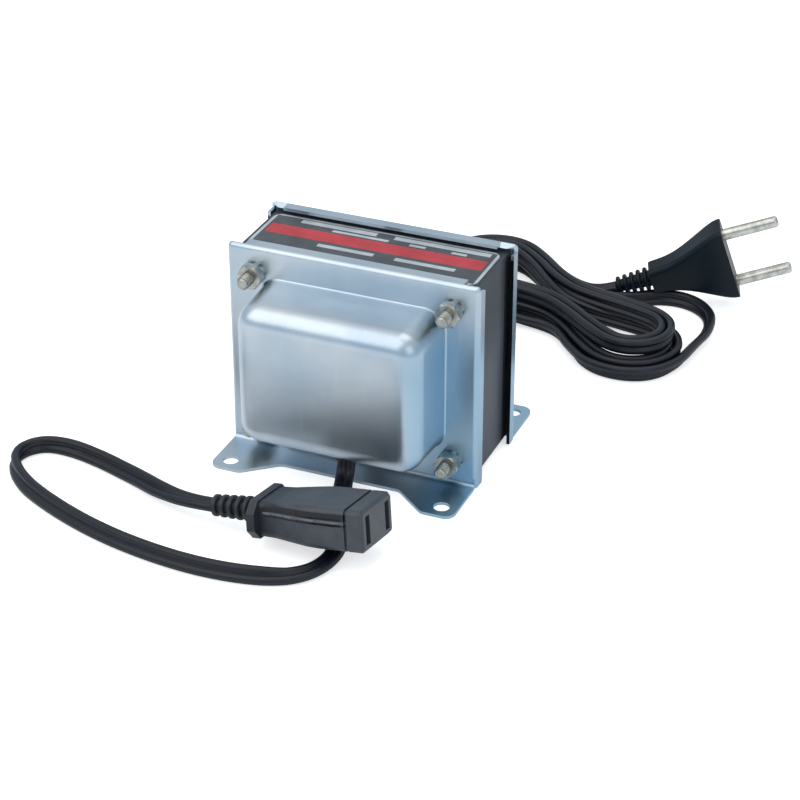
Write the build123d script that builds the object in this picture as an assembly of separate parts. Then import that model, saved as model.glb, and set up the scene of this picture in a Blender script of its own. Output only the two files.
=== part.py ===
from build123d import *
import math
import os

# A small step-down travel transformer: an open laminated core clamped between two drawn steel
# end bells that stand on four feet, an output lead with a two-slot connector, and an input lead
# that is wound in a hank and ends in a two-pin plug. Millimetres, +Z up, +Y towards the back.
# The origin is on the floor, under the middle of the core.

# Core: scrapless E and I laminations, every length a multiple of one unit
core_width = 76.2
lam_unit = core_width / 6
pack_count = 8
pack_thickness = 3.86
core_ride = 1.9

# Drawn steel end bells
sheet = 1.0
core_gap = 1.3
lip_depth = 4.6
lip_radius = 1.5
lip_low = 0.5
relief_start = 1.2
relief_across = 5.5
relief_down = 2.0
foot_bend = 1.5
box_inside_bolts_x = 1.85
box_inside_bolts_z = 1.9
box_draft_x = 0.7
box_draft_z = 0.6
bell_depth = 21.0
bell_rise = 1.2
bell_corner = 7.0
bell_edge = 6.2
bell_root = 0.6

# Feet, measured outwards from the flange's outer face
ledge_depth = 10.0
foot_depth = 18.7
foot_inset = 0.6
foot_tip_width = 10.0
foot_root_width = 20.3
foot_corner = 3.2
foot_hole = 5.0
foot_hole_depth = 13.9
foot_hole_inset = 5.65

# Clamping bolts
bolt_d = 4.0
bolt_hole = 4.4
core_hole = 4.9
sleeve_wall = 0.3
fit_gap = 0.1
washer_d = 7.4
washer_t = 0.8
washer_teeth = 8
nut_width = 7.0
nut_height = 3.2
head_height = 2.8
bolt_beyond_nut = 4.4

# Coil former and windings
former_gap = 0.3
former_wall = 1.2
former_flange = 1.3
former_corner = 1.5
window_gap = 0.6
primary_build = 4.2
barrier = 0.4
secondary_build = 4.0
wrap_build = 0.5

# Label plate on the core
plate_t = 0.4
plate_gap = 0.5
plate_inset = 1.2
plate_corner = 3.0

# Twin flex, drawn as a round tube of the flat cord's own area
cord_d = 3.8
cord_floor = cord_d / 2 + 0.05
lead_d = 1.6

# Grommets in the bottom walls of the bells
grommet_x = 3.0
grommet_out = 11.2
grommet_hole = 7.6
grommet_flange = 9.8
grommet_lip = 1.2
grommet_grip = 0.3
grommet_neck = 1.4

# Crimped joints and the thermal cut-out inside the bells
splice_d = 5.0
splice_length = 11.0
splice_spread = 9.0
cutout_d = 4.0
cutout_length = 10.0

# Output connector, in its own frame: X towards the slotted face, Y across the slots
connector_at = (28.6, -64.0, 13.8)
connector_turn = (-1.0, 8.0, -10.0)
connector_w = 20.0
connector_h = 12.8
connector_length = 34.0
collar_t = 2.6
collar_w = 21.6
collar_h = 11.6
collar_cut = 3.2
face_cut = 0.9
slot_pitch = 12.7
slot_w = 2.6
slot_h = 8.6
slot_deep = 17.0
contact_t = 0.4
body_corner = 1.9
panel_groove = 2.0
panel_groove_z = 3.9
seam_groove = 0.7
seam_groove_z = 1.6
groove_deep = 0.7
head_length = 5.0
head_groove = 0.9
boot_length = 16.0
boot_ribs = 4
boot_root_r = 3.9
boot_tip_r = 3.3
rib_relief = 1.0
connector_reach = 9.0

# Plug, in its own frame: X towards the pins' tips, Y across the pins
plug_at = (76.3, 129.0, 18.2)
plug_turn = (17.5, 18.5, 96.3)
plug_w = 27.0
plug_t = 11.6
plug_length = 27.5
plug_neck_w = 9.4
plug_neck_t = 8.4
plug_corner = 1.9
plug_boot_length = 12.0
plug_boot_ribs = 5
plug_boot_root_r = 4.1
plug_boot_tip_r = 3.3
pin_d = 4.0
pin_length = 19.0
pin_pitch = 19.0
pin_root = 6.0
pin_root_d = 3.2
pin_tip = 1.2
plug_reach = 7.0

# Hank of the input lead: a dumbbell, seen from above, round two lobes
hank_at = (32.6, 95.5)
hank_heading = -25.4
left_lobe = -39.0
right_lobe = 26.0
left_radius = 6.5
left_step = 5.0
right_radius = 8.0
right_step = 4.8
waist_half = 2.4
waist_step = 4.8
layer_rise = 4.4
turns_in = 1.75
stations = 8
climb_stations = 2
hank_stations = 34

# Worked out from the sizes above
core_x = core_width
core_z = 5 * lam_unit
stack = pack_count * pack_thickness
core_top = core_ride + core_z
flange_x = core_x + 2 * (core_gap + sheet)
flange_z = core_top + core_gap + sheet
face_y = stack / 2 + sheet
bell_mid = core_ride + core_z / 2 + bell_rise
bolt_x = core_x / 2 - lam_unit / 2
bolt_z = (core_ride + lam_unit / 2, core_top - lam_unit / 2)
clamp_points = [(x, z) for x in (-bolt_x, bolt_x) for z in bolt_z]
bell_base_x = 2 * (bolt_x - box_inside_bolts_x)
bell_base_z = bolt_z[1] - bolt_z[0] - 2 * box_inside_bolts_z
bell_front_x = bell_base_x - 2 * box_draft_x
bell_front_z = bell_base_z - 2 * box_draft_z
window_z = (core_ride + lam_unit, core_top - lam_unit)
window_mid = (window_z[0] + window_z[1]) / 2


def along_y(radius, start, end, x=0.0, z=0.0):
    """A round bar from start to end along Y."""
    bar = Cylinder(radius, abs(end - start))
    return Pos(x, (start + end) / 2, z) * Rot(90, 0, 0) * bar


def flat_prism(outline, start, end):
    """A face drawn in X and Z, made solid from start to end along Y."""
    return Pos(0, end, 0) * extrude(Plane.XZ * outline, end - start)


def lamination_e():
    yoke = Pos(0, lam_unit / 2) * Rectangle(core_x, lam_unit)
    outer = Rectangle(lam_unit, 3 * lam_unit)
    middle = Rectangle(2 * lam_unit, 3 * lam_unit)
    leg_mid = 2.5 * lam_unit
    shape = yoke + Pos(0, leg_mid) * middle
    for side in (-1, 1):
        shape += Pos(side * 2.5 * lam_unit, leg_mid) * outer
        shape -= Pos(side * bolt_x, lam_unit / 2) * Circle(core_hole / 2)
    return shape


def lamination_i():
    shape = Pos(0, 4.5 * lam_unit) * Rectangle(core_x, lam_unit)
    for side in (-1, 1):
        shape -= Pos(side * bolt_x, 4.5 * lam_unit) * Circle(core_hole / 2)
    return shape


def lamination_packs(lamination):
    """Packs of one lamination, every second pack turned end for end so that the joints overlap."""
    packs = []
    for index in range(pack_count):
        near = -stack / 2 + index * pack_thickness
        sheet_face = lamination if index % 2 == 0 else Pos(0, core_z) * Rot(0, 0, 180) * lamination
        solid = flat_prism(sheet_face, near, near + pack_thickness)
        packs.append(Pos(0, 0, core_ride) * solid)
    return packs


def bell_box(grow_in):
    """The drawn box of a bell, its walls moved in by grow_in, open towards the core."""
    tip = face_y + bell_depth - grow_in
    corner = bell_corner - grow_in
    base = RectangleRounded(bell_base_x - 2 * grow_in, bell_base_z - 2 * grow_in, corner)
    front = RectangleRounded(bell_front_x - 2 * grow_in, bell_front_z - 2 * grow_in, corner)
    at_base = Pos(0, -face_y + sheet, bell_mid) * (Plane.XZ * base)
    at_front = Pos(0, -tip, bell_mid) * (Plane.XZ * front)
    box = loft([at_base.face(), at_front.face()], ruled=True)
    return fillet(box.edges().group_by(Axis.Y)[0], bell_edge - grow_in)


def flange_tray(grow_in, radius):
    """The flange and its lips as a block, its walls moved in by grow_in, its bends rounded."""
    low = lip_low - grow_in
    high = flange_z - grow_in
    width = flange_x - 2 * grow_in
    near = -face_y + grow_in
    depth = lip_depth - grow_in
    block = Pos(0, near + depth / 2, (low + high) / 2) * Box(width, depth, high - low)
    rounded = block.edges().filter_by(Axis.Z).sort_by(Axis.Y)[:2]
    rounded += block.edges().filter_by(Axis.Y).sort_by(Axis.Z)[-2:]
    rounded += block.edges().filter_by(Axis.X).group_by(Axis.Z)[-1].sort_by(Axis.Y)[:1]
    return fillet(rounded, radius)


def foot_outline():
    """Seen from above: a ledge across the middle with a foot at each end."""
    side = flange_x / 2 - foot_inset
    tip = -face_y - foot_depth
    points = [
        (side, -face_y + sheet),
        (side, tip),
        (side - foot_tip_width, tip),
        (side - foot_root_width, -face_y - ledge_depth),
    ]
    mirrored = [(-x, y) for x, y in reversed(points)]
    outline = make_face(Polyline(*points, *mirrored, close=True))
    tips, roots = outline.vertices().group_by(Axis.Y)[:2]
    return fillet(tips + roots, foot_corner)


def foot_sheet():
    """The flange's bottom edge, bent out into the ledge and its two feet."""
    far = -face_y - foot_depth
    bend_top = sheet + foot_bend
    inner_start = (-face_y - foot_bend, sheet)
    outer_start = (-face_y - foot_bend, 0)
    profile = make_face([
        Polyline(inner_start, (far, sheet), (far, 0), outer_start),
        ThreePointArc(outer_start, bend_point(foot_bend + sheet), (-face_y + sheet, bend_top)),
        Polyline((-face_y + sheet, bend_top), (-face_y + sheet, bend_top + sheet),
                 (-face_y, bend_top + sheet), (-face_y, bend_top)),
        ThreePointArc((-face_y, bend_top), bend_point(foot_bend), inner_start),
    ])
    strip = extrude(Plane.YZ * profile, flange_x / 2 - foot_inset, both=True)
    return strip & extrude(foot_outline(), bend_top + 2 * sheet)


def bend_point(radius):
    """The middle of the foot's bend, at a radius from the bend's own centre."""
    reach = radius / math.sqrt(2)
    return (-face_y - foot_bend + reach, sheet + foot_bend - reach)


def end_bell():
    """The front bell. The rear one is the same pressing, turned to face the other way."""
    bell = flange_tray(0, lip_radius) - flange_tray(sheet, lip_radius - sheet)
    bend_top = sheet + foot_bend
    under = Box(flange_x - 2 * sheet, lip_depth, 2 * bend_top)
    bell -= Pos(0, -face_y + lip_depth / 2 - sheet, 0) * under
    bell += foot_sheet()
    bell += bell_box(0)
    bell -= bell_box(sheet)
    root = [
        edge for edge in bell.edges()
        if abs(edge.center().Y + face_y) < fit_gap
        and abs(edge.center().X) < bell_base_x / 2 + fit_gap
        and abs(edge.center().Z - bell_mid) < bell_base_z / 2 + fit_gap
        and edge.bounding_box().size.Y < fit_gap
    ]
    bell = fillet(root, bell_root)
    for x, z in clamp_points:
        bell -= along_y(bolt_hole / 2, -face_y - sheet, -face_y + 2 * sheet, x, z)
    for side in (-1, 1):
        bell -= corner_relief(side)
        foot_x = side * (flange_x / 2 - foot_hole_inset)
        bell -= Pos(foot_x, -face_y - foot_hole_depth, 0) * Cylinder(foot_hole / 2, 4 * sheet)
    bell -= Pos(grommet_x, -grommet_y(), wall_z()) * Cylinder(grommet_hole / 2, 4 * sheet)
    return bell


def corner_relief(side):
    """The wedge cut out of a top corner, where the upper lip and a side lip would meet."""
    near = -face_y + relief_start
    far = -face_y + lip_depth + fit_gap
    edge = side * (flange_x / 2 + fit_gap)
    top = flange_z + fit_gap
    across = make_face(Polyline((edge, near), (edge, far), (edge - side * relief_across, far), close=True))
    down = make_face(Polyline((near, top), (far, top), (far, top - relief_down), close=True))
    upper_lip = Pos(0, 0, flange_z - sheet - core_gap) * extrude(across, sheet + core_gap + fit_gap)
    side_lip = extrude(Plane.YZ * down, relief_across)
    if side > 0:
        return upper_lip + Pos(edge - relief_across, 0, 0) * side_lip
    return upper_lip + Pos(edge, 0, 0) * side_lip


def grommet_y():
    return face_y + grommet_out


def wall_z():
    """The middle of the box's bottom wall where the grommet sits. The wall rises towards the tip."""
    rise = (bell_base_z - bell_front_z) / 2
    share = (grommet_out + sheet) / (bell_depth + sheet)
    return bell_mid - bell_base_z / 2 + rise * share + sheet / 2


def grommet():
    """A rubber bush gripping the edge of its hole, with the cord's passage down its middle."""
    grip = sheet / 2 + grommet_grip
    profile = Polyline(
        (cord_d / 2, -grip - grommet_lip),
        (grommet_flange / 2 - grommet_lip / 2, -grip - grommet_lip),
        (grommet_flange / 2, -grip),
        (grommet_hole / 2 - fit_gap, -grip),
        (grommet_hole / 2 - fit_gap, grip),
        (grommet_flange / 2, grip),
        (grommet_flange / 2 - grommet_lip, grip + grommet_neck),
        (cord_d / 2, grip + grommet_neck),
        close=True,
    )
    bush = revolve(Plane.XZ * make_face(profile), Axis.Z)
    return Pos(grommet_x, -grommet_y(), wall_z()) * bush


def grommet_ends():
    """The heights of a grommet's lower and upper faces."""
    grip = sheet / 2 + grommet_grip
    return wall_z() - grip - grommet_lip, wall_z() + grip + grommet_neck


def former_tube():
    """Inner and outer size, in X and Y, of the former's tube round the middle leg."""
    inner = (2 * lam_unit + 2 * former_gap, stack + 2 * former_gap)
    outer = (inner[0] + 2 * former_wall, inner[1] + 2 * former_wall)
    return inner, outer


def coil_former():
    inner, outer = former_tube()
    height = window_z[1] - window_z[0] - 2 * former_gap
    total = winding_builds()
    flange = (outer[0] + 2 * total, outer[1] + 2 * total)
    tube = extrude(RectangleRounded(*outer, former_corner), height)
    end = extrude(RectangleRounded(*flange, former_corner), former_flange)
    body = tube + end + Pos(0, 0, height - former_flange) * end
    body -= Pos(0, 0, -former_gap) * extrude(Rectangle(*inner), height + 2 * former_gap)
    return Pos(0, 0, window_z[0] + former_gap) * body


def winding_builds():
    """How far the windings and their wrap stand out from the former's tube."""
    return primary_build + barrier + secondary_build + wrap_build


def coil_layer(start, build):
    """A wound layer that starts at a height over the former's tube and is build thick."""
    outer = former_tube()[1]
    height = window_z[1] - window_z[0] - 2 * former_gap - 2 * former_flange
    inside = (outer[0] + 2 * start, outer[1] + 2 * start)
    outside = (inside[0] + 2 * build, inside[1] + 2 * build)
    ring = RectangleRounded(*outside, former_corner + start + build)
    ring -= RectangleRounded(*inside, former_corner + start)
    return Pos(0, 0, window_mid - height / 2) * extrude(ring, height)


def through_bolts():
    """Hex-headed bolts put in from behind, their threads standing out of the nuts in front."""
    tip = -face_y - washer_t - nut_height - bolt_beyond_nut
    seat = face_y + washer_t
    bolts = []
    for x, z in clamp_points:
        shank = along_y(bolt_d / 2, tip, seat, x, z)
        shank = chamfer(shank.edges().group_by(Axis.Y)[0], bolt_d / 10)
        hexagon = Pos(x, z) * RegularPolygon(nut_width / math.sqrt(3), 6)
        head = flat_prism(hexagon, seat, seat + head_height)
        bolts.append(shank + head)
    return bolts


def hex_nuts():
    far = -face_y - washer_t
    hexagon = RegularPolygon(nut_width / math.sqrt(3), 6) - Circle(bolt_d / 2 + fit_gap / 2)
    nuts = []
    for x, z in clamp_points:
        nut = flat_prism(Pos(x, z) * hexagon, far - nut_height, far)
        nuts.append(nut)
    return nuts


def lock_washers():
    """Star washers: a flat ring with teeth cut round its rim."""
    ring = Circle(washer_d / 2) - Circle(bolt_d / 2 + fit_gap)
    notch = Rectangle(washer_t, washer_t * 2)
    for tooth in range(washer_teeth):
        ring -= Rot(0, 0, 360 / washer_teeth * tooth) * Pos(washer_d / 2, 0) * Rot(0, 0, 20) * notch
    return [flat_prism(Pos(x, z) * ring, -face_y - washer_t, -face_y) for x, z in clamp_points]


def fibre_washers():
    ring = Circle(washer_d / 2) - Circle(bolt_d / 2 + fit_gap)
    return [flat_prism(Pos(x, z) * ring, face_y, face_y + washer_t) for x, z in clamp_points]


def bolt_sleeves():
    """Insulating tubes that keep the bolts off the laminations."""
    outer = core_hole / 2 - fit_gap / 2
    ring = Circle(outer) - Circle(outer - sleeve_wall)
    return [flat_prism(Pos(x, z) * ring, -stack / 2, stack / 2) for x, z in clamp_points]


def label_plate():
    length = core_x - 2 * plate_inset
    depth = 2 * (face_y - lip_depth - plate_gap)
    plate = extrude(RectangleRounded(length, depth, plate_corner), plate_t)
    return Pos(0, 0, core_top) * plate


def corner_radii(points, share=0.45):
    """The radius of each corner of a route: as large as its shorter run allows."""
    radii = []
    for before, here, after in zip(points, points[1:], points[2:]):
        run_in = Vector(here) - Vector(before)
        run_out = Vector(after) - Vector(here)
        turn = math.radians(run_in.get_angle(run_out))
        radii.append(share * min(run_in.length, run_out.length) / math.tan(turn / 2))
    return radii


def round_tube(points, diameter, name=""):
    """A round tube along straight runs joined by tangent arcs."""
    radii = corner_radii(points)
    path = FilletPolyline(*points, radius=radii)
    section = Plane(origin=path @ 0, z_dir=path % 0) * Circle(diameter / 2)
    tube = sweep(section, path=path)
    if name:
        wanted = math.pi * diameter ** 2 / 4 * path.length
        print(f"{name}: length {path.length:.0f}, volume is {tube.volume / wanted:.4f} of section x length")
        print(f"{name}: radii", " ".join(f"{radius:.0f}" for radius in radii))
    return tube


def lead_set():
    """Two wires from the coil down to their crimps, and two on from the crimps to the grommet."""
    coil_face = -former_tube()[1][1] / 2 - winding_builds()
    splice_y = coil_face - splice_d / 2 - fit_gap
    top = window_mid + splice_length / 2
    bottom = window_mid - splice_length / 2
    exit_z = grommet_ends()[1]
    wires = []
    crimps = []
    for side in (-1, 1):
        x = side * splice_spread / 2 + grommet_x
        over = lead_d
        wires.append(round_tube([
            (x, coil_face, top + 2 * over),
            (x, splice_y, top + 2 * over),
            (x, splice_y, top),
        ], lead_d))
        wires.append(round_tube([
            (x, splice_y, bottom),
            (x, splice_y, bottom - 3 * over),
            (grommet_x + side * lead_d * 0.55, -grommet_y(), exit_z + 2 * over),
            (grommet_x + side * lead_d * 0.56, -grommet_y(), exit_z),
        ], lead_d))
        crimp = Pos(x, splice_y, window_mid) * Cylinder(splice_d / 2, splice_length)
        crimps.append(fillet(crimp.edges(), splice_d / 8))
    return wires, crimps


def thermal_cutout():
    """A small metal can held flat on the back of the coil."""
    y = former_tube()[1][1] / 2 + winding_builds() + cutout_d / 2
    x = -grommet_x + splice_spread + cutout_d / 2
    can = Pos(x, y, window_mid) * Cylinder(cutout_d / 2, cutout_length)
    return fillet(can.edges(), cutout_d / 8)


def placed(at, turn):
    """The place of a piece: its origin, then its heading, its rise and its roll in degrees."""
    heading, rise, roll = turn
    return Pos(*at) * Rot(0, 0, heading) * Rot(0, -rise, 0) * Rot(roll, 0, 0)


def cross_section(x, width, height, corner):
    face = RectangleRounded(width, height, min(corner, width / 2.1, height / 2.1))
    return (Plane(origin=(x, 0, 0), x_dir=(0, 1, 0), z_dir=(1, 0, 0)) * face).face()


def connector_body():
    """The moulded body: a collar for the fingers, a waist, and a square head with two slots."""
    back = -connector_length
    stations_x = (
        (back, 0.8, 0.84), (0.86 * back, 0.82, 0.86), (0.7 * back, 0.91, 0.92),
        (0.55 * back, 0.98, 0.98), (0.44 * back, 1.0, 1.0), (-face_cut, 1.0, 1.0),
    )
    sections = [
        cross_section(x, wide * connector_w, high * connector_h, body_corner)
        for x, wide, high in stations_x
    ]
    head = cross_section(
        0, connector_w - 2 * face_cut, connector_h - 2 * face_cut, body_corner - face_cut
    )
    body = loft(sections, ruled=True) + loft([sections[-1], head], ruled=True)
    collar = Pos(back - collar_t / 2, 0, 0) * Box(collar_t, collar_w, collar_h)
    collar = chamfer(collar.edges().filter_by(Axis.X), collar_cut)
    body += collar
    ring = Box(head_groove, 2 * connector_w, 2 * connector_h)
    ring -= Box(head_groove, connector_w - 2 * groove_deep, connector_h - 2 * groove_deep)
    body -= Pos(-head_length - head_groove / 2, 0, 0) * ring
    groove_start = 0.62 * back
    groove_end = -head_length - 2 * head_groove
    for side in (-1, 1):
        for height, middle in ((panel_groove, panel_groove_z), (seam_groove, seam_groove_z)):
            cut = Box(groove_end - groove_start, 2 * groove_deep, height)
            body -= Pos((groove_start + groove_end) / 2, side * connector_w / 2, middle) * cut
        slot = Box(slot_deep, slot_w, slot_h)
        body -= Pos(-slot_deep / 2, side * slot_pitch / 2, 0) * slot
    return placed(connector_at, connector_turn) * body


def connector_contacts():
    """A folded brass blade on the inner wall of each slot."""
    contacts = []
    for side in (-1, 1):
        leaf = Box(slot_deep * 0.8, contact_t, slot_h * 0.8)
        y = side * (slot_pitch / 2 - slot_w / 2 + contact_t / 2)
        contacts.append(placed(connector_at, connector_turn) * Pos(-slot_deep * 0.6, y, 0) * leaf)
    return contacts


def ribbed_boot(length, ribs, root_r, tip_r):
    """A tapered boot with round-backed rings and deep grooves, from X = 0 back to X = -length."""
    pitch = length / ribs
    ring = 0.68 * pitch
    lines = []
    reached = (0, 0)
    for rib in range(ribs):
        start = -rib * pitch
        outer = root_r + (tip_r - root_r) * rib / (ribs - 1)
        base = outer - rib_relief
        lines.append(Polyline(reached, (start, base), (start, outer - rib_relief / 2)))
        lines.append(ThreePointArc(
            (start, outer - rib_relief / 2), (start - ring / 2, outer), (start - ring, outer - rib_relief / 2)
        ))
        lines.append(Polyline((start - ring, outer - rib_relief / 2), (start - ring, base), (start - pitch, base)))
        reached = (start - pitch, base)
    lines.append(Polyline(reached, (-length, 0), (0, 0)))
    return revolve(make_face(lines), Axis.X)


def connector_boot():
    start = -connector_length - collar_t
    boot = Pos(start, 0, 0) * ribbed_boot(boot_length, boot_ribs, boot_root_r, boot_tip_r)
    return placed(connector_at, connector_turn) * boot


def plug_body():
    """The moulded plug: flat sided, swelling from its neck to the face that the pins stand in."""
    swell = ((1.0, 0.0), (0.8, 0.07), (0.6, 0.24), (0.4, 0.52), (0.2, 0.83), (0.07, 0.98))
    sections = []
    for share, growth in swell:
        width = plug_neck_w + (plug_w - plug_neck_w) * growth
        thick = plug_neck_t + (plug_t - plug_neck_t) * growth
        sections.append(cross_section(-share * plug_length, width, thick, plug_corner))
    sections.append(cross_section(0, plug_w, plug_t, plug_corner))
    body = loft(sections)
    for side in (-1, 1):
        hole = Pos(-pin_root / 2, side * pin_pitch / 2, 0) * Rot(0, 90, 0)
        body -= hole * Cylinder(pin_root_d / 2, pin_root)
    return placed(plug_at, plug_turn) * body


def plug_pins():
    """Round pins with a thinner root that the plug is moulded round."""
    outline = Polyline(
        (-pin_root, 0), (-pin_root, pin_root_d / 2), (0, pin_root_d / 2),
        (0, pin_d / 2), (pin_length, pin_d / 2), (pin_length, 0), close=True,
    )
    pin = revolve(make_face(outline), Axis.X)
    pin = fillet(pin.edges().group_by(Axis.X)[-1], pin_tip)
    sides = [Pos(0, side * pin_pitch / 2, 0) * pin for side in (-1, 1)]
    return [placed(plug_at, plug_turn) * pin for pin in sides]


def plug_boot():
    boot = ribbed_boot(plug_boot_length, plug_boot_ribs, plug_boot_root_r, plug_boot_tip_r)
    return placed(plug_at, plug_turn) * Pos(-plug_length, 0, 0) * boot


def boot_end(at, turn, back, reach=0.0):
    """A point on the axis of a connector or plug, back from its face and reach further out."""
    return (placed(at, turn) * Pos(-back - reach, 0, 0)).position


def output_route():
    """From the front grommet down to the floor, under the connector, round and back to its boot."""
    back = connector_length + collar_t + boot_length
    down = grommet_ends()[0]
    return [
        (grommet_x, -grommet_y(), down),
        (grommet_x, -grommet_y() - 0.3, down - 3.6),
        (grommet_x + 0.4, -grommet_y() - 3.4, cord_floor + 0.7),
        (6.2, -40.0, cord_floor),
        (10.0, -48.5, cord_floor),
        (14.2, -58.0, cord_floor),
        (17.0, -69.5, cord_floor),
        (13.0, -80.5, cord_floor),
        (1.0, -87.0, cord_floor),
        (-16.0, -88.9, cord_floor),
        (-35.0, -87.2, cord_floor),
        (-54.0, -82.8, cord_floor),
        (-72.5, -75.6, cord_floor),
        (-87.5, -67.3, cord_floor),
        (-96.2, -56.5, cord_floor),
        (-92.0, -46.6, cord_floor),
        (-80.5, -45.2, cord_floor),
        (-67.0, -48.6, cord_floor),
        (-54.5, -53.6, cord_floor),
        (-44.0, -59.2, cord_floor + 0.8),
        boot_end(connector_at, connector_turn, back, connector_reach),
        boot_end(connector_at, connector_turn, back),
    ]


def hank_station(index):
    """One station of the hank: where the cord is, and which way it heads there.

    It winds in round both lobes on the lower layer, climbs along a run where the spiral turns,
    and winds out again on the upper layer. The eight stations of a turn start over the left lobe.
    """
    turn_point = turns_in * stations
    flip = turn_point + climb_stations / 2
    out = max(0.0, index - flip)
    share = turns_in - min(index, flip) / stations + out / stations
    climbed = min(1.0, max(0.0, (index - turn_point) / climb_stations))
    left = left_radius + left_step * share
    right = right_radius + right_step * share
    waist = waist_half + waist_step * share
    ring = (
        ((left_lobe, left), (-1, 0)), ((left_lobe - left, 0), (0, -1)),
        ((left_lobe, -left), (1, 0)), ((0, -waist), (1, 0)),
        ((right_lobe, -right), (1, 0)), ((right_lobe + right, 0), (0, 1)),
        ((right_lobe, right), (-1, 0)), ((0, waist), (-1, 0)),
    )
    place, heading = ring[index % stations]
    slope = 1.5 * layer_rise / (right_lobe - left_lobe) if 0 < climbed < 1 else 0.0
    turned = Rot(0, 0, hank_heading)
    point = Pos(*hank_at, 0) * turned * Pos(*place, cord_floor + layer_rise * climbed)
    ahead = turned * Pos(*heading, slope)
    return point.position, ahead.position.normalized()


def biarc(start, start_way, end, end_way):
    """Two arcs that leave start and reach end in the given directions and meet smoothly."""
    gap = end - start
    both = start_way + end_way
    bend = 2 * (1 - start_way.dot(end_way))
    along = gap.dot(both)
    if bend < 1e-9:
        reach = gap.dot(gap) / (4 * gap.dot(end_way))
    else:
        reach = (math.sqrt(along ** 2 + bend * gap.dot(gap)) - along) / bend
    middle = ((start + start_way * reach) + (end - end_way * reach)) / 2
    first = Edge.make_tangent_arc(start, start_way, middle)
    second = Edge.make_tangent_arc(middle, first % 1, end)
    return [first, second]


def hank_path():
    """The hank's whole line, and its heading at both ends."""
    places = [hank_station(index) for index in range(hank_stations + 1)]
    edges = []
    for (start, start_way), (end, end_way) in zip(places, places[1:]):
        edges += biarc(start, start_way, end, end_way)
    return Wire(edges), places


def hank():
    path, places = hank_path()
    section = Plane(origin=places[0][0], z_dir=places[0][1]) * Circle(cord_d / 2)
    tube = sweep(section, path=path)
    wanted = math.pi * cord_d ** 2 / 4 * path.length
    print(f"hank: length {path.length:.0f}, volume is {tube.volume / wanted:.4f} of section x length")
    print(f"hank: least gap to itself {least_gap(path):.2f}")
    return tube


def least_gap(path, step=1.5):
    """The least gap between turns, on points along the line, leaving out near neighbours."""
    count = int(path.length / step)
    points = [path @ (index / count) for index in range(count + 1)]
    apart = int(4 * cord_d / step)
    least = path.length
    for index, point in enumerate(points):
        for other in points[index + apart:]:
            flat = abs(point.X - other.X) + abs(point.Y - other.Y)
            if flat < 4 * cord_d:
                least = min(least, (point - other).length)
    return least - cord_d


def input_route():
    """From the hank's upper end over its outer turn and down to the rear grommet."""
    end, heading = hank_station(hank_stations)
    ahead = end + heading * 12
    down = grommet_ends()[0]
    return [
        (-grommet_x, grommet_y(), down),
        (-grommet_x, grommet_y() + 0.3, down - 3.6),
        (-grommet_x + 0.4, grommet_y() + 3.4, cord_floor + 0.7),
        (-2.6, 40.5, cord_floor),
        (0.8, 49.5, cord_floor),
        (6.0, 60.5, cord_floor + 0.4),
        (10.5, 73.0, cord_floor + 2.6),
        (9.5, 84.5, cord_floor + layer_rise),
        ahead,
        end,
    ]


def plug_route():
    """From the plug's boot round the hank's outside, out in a loose loop under the plug, to the hank."""
    start, heading = hank_station(0)
    before = start - heading * 10
    back = plug_length + plug_boot_length
    return [
        boot_end(plug_at, plug_turn, back),
        boot_end(plug_at, plug_turn, back, plug_reach),
        (24.5, 119.3, cord_floor),
        (14.0, 127.2, cord_floor),
        (2.0, 133.6, cord_floor),
        (-12.5, 133.8, cord_floor),
        (-22.6, 122.5, cord_floor),
        (-22.8, 107.0, cord_floor),
        (-12.8, 95.2, cord_floor),
        (2.5, 88.6, cord_floor),
        (16.5, 84.8, cord_floor),
        (28.0, 83.0, cord_floor),
        (36.2, 74.4, cord_floor),
        (46.2, 66.0, cord_floor),
        (58.5, 63.4, cord_floor),
        (69.0, 67.8, cord_floor),
        (74.4, 78.4, cord_floor),
        (75.2, 90.5, cord_floor),
        (77.4, 102.5, cord_floor),
        (74.8, 114.2, cord_floor),
        (66.0, 121.6, cord_floor),
        (55.0, 121.6, cord_floor),
        (47.0, 115.4, cord_floor),
        (38.4, 111.8, cord_floor),
        (27.5, 112.4, cord_floor),
        before,
        start,
    ]


def save(name, shapes):
    if isinstance(shapes, (list, tuple)):
        solids = [solid for shape in shapes for solid in shape.solids()]
        shapes = Compound(children=solids) if len(solids) > 1 else solids[0]
    shapes.label = name
    export_step(shapes, f"parts/{name}.step")


def turned_about(shapes):
    """The same pieces at the rear of the core, turned half round about Z."""
    return [Rot(0, 0, 180) * shape for shape in shapes]


os.makedirs("parts", exist_ok=True)

front_bell = end_bell()
save("front_bell", front_bell)
save("rear_bell", turned_about([front_bell]))
save("e_laminations", lamination_packs(lamination_e()))
save("i_laminations", lamination_packs(lamination_i()))
save("coil_former", coil_former())
layers = (
    ("primary_winding", primary_build),
    ("winding_barrier", barrier),
    ("secondary_winding", secondary_build),
    ("outer_wrap", wrap_build),
)
reached = 0.0
for layer_name, layer_build in layers:
    save(layer_name, coil_layer(reached, layer_build))
    reached += layer_build
save("through_bolts", through_bolts())
save("hex_nuts", hex_nuts())
save("lock_washers", lock_washers())
save("fibre_washers", fibre_washers())
save("bolt_sleeves", bolt_sleeves())
save("label_plate", label_plate())

bush = grommet()
save("output_grommet", bush)
save("input_grommet", turned_about([bush]))
lead_wires, crimp_joints = lead_set()
save("output_leads", lead_wires)
save("output_crimps", crimp_joints)
save("input_leads", turned_about(lead_wires))
save("input_crimps", turned_about(crimp_joints))
save("thermal_cutout", thermal_cutout())

save("output_cord", round_tube(output_route(), cord_d, "output_cord"))
save("connector_body", connector_body())
save("connector_contacts", connector_contacts())
save("connector_boot", connector_boot())

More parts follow.
